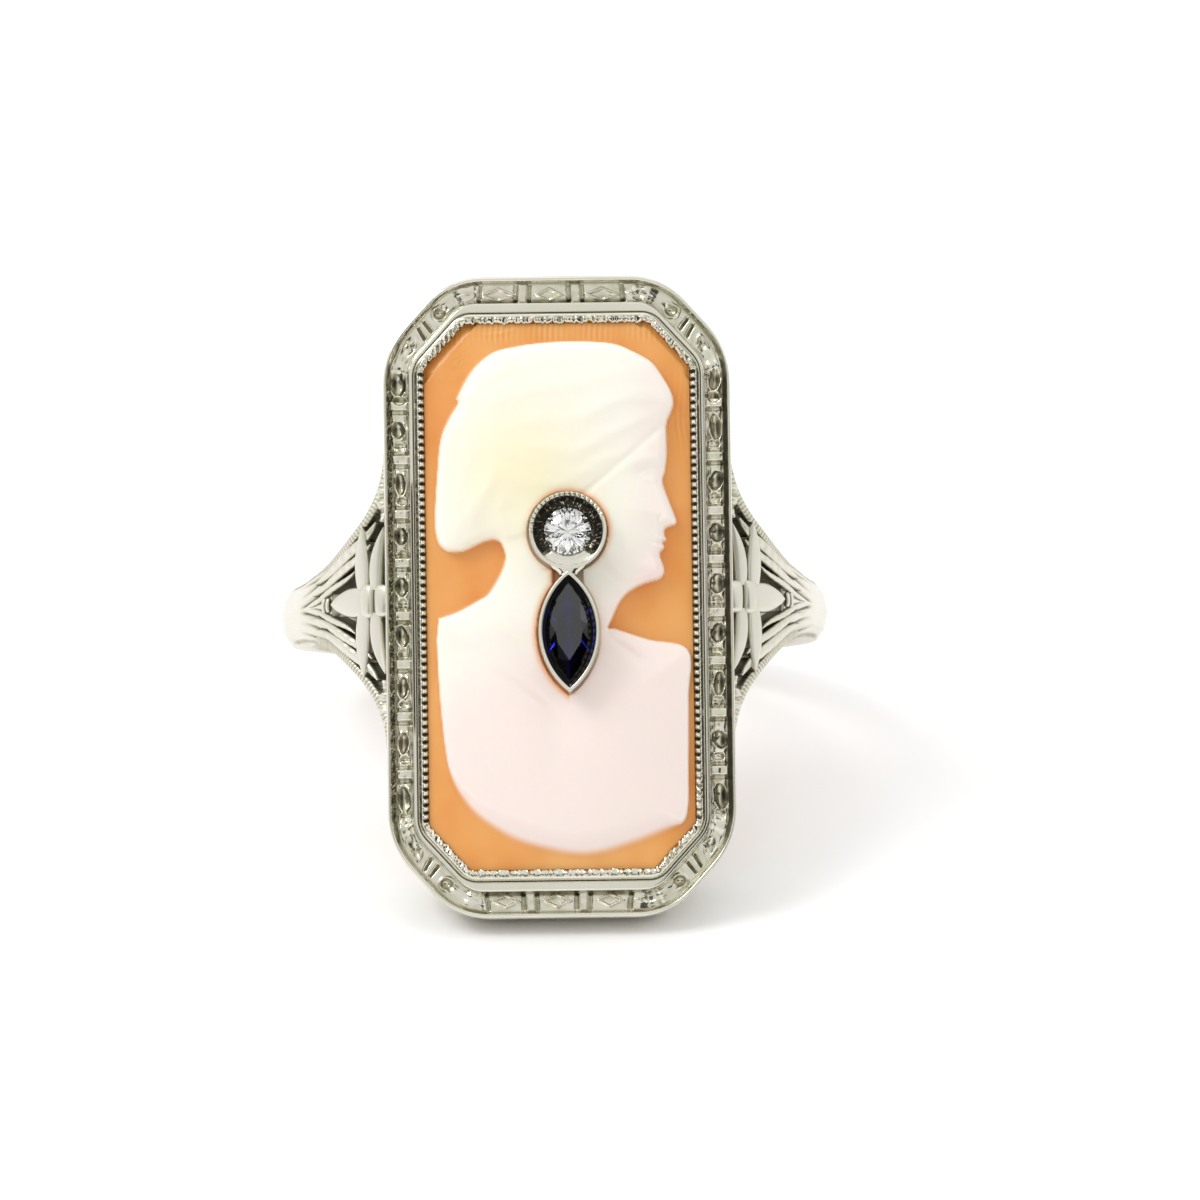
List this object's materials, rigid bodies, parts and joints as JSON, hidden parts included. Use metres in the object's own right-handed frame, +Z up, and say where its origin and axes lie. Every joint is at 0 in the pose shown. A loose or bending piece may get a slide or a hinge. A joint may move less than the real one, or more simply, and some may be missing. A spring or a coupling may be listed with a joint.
{
  "type": "cameo ring",
  "caption": "Finger ring with a long cut-cornered frame that holds a carved shell cameo in profile, with a small stone-set drop on the bust.",
  "frame": {"origin": "centre of the bounding box on the surface that the ring lies on", "axes": "+Z up as the ring lies on its side; +Y from the frame to the back of the shank, level; +X across the frame, along the face's short axis"},
  "size_m": [0.0196, 0.0238, 0.0203],
  "materials": {
    "white_gold": "polished white gold",
    "shell": "satin carved shell, cream over orange",
    "clear_stone": "polished facets",
    "blue_stone": "polished facets"
  },
  "bodies": {
    "root": {"ring_mount": "white_gold", "cameo_bezel": "white_gold", "cameo": "shell", "drop_mount": "white_gold", "brilliant": "clear_stone", "marquise_stone": "blue_stone"}
  },
  "joints": []
}
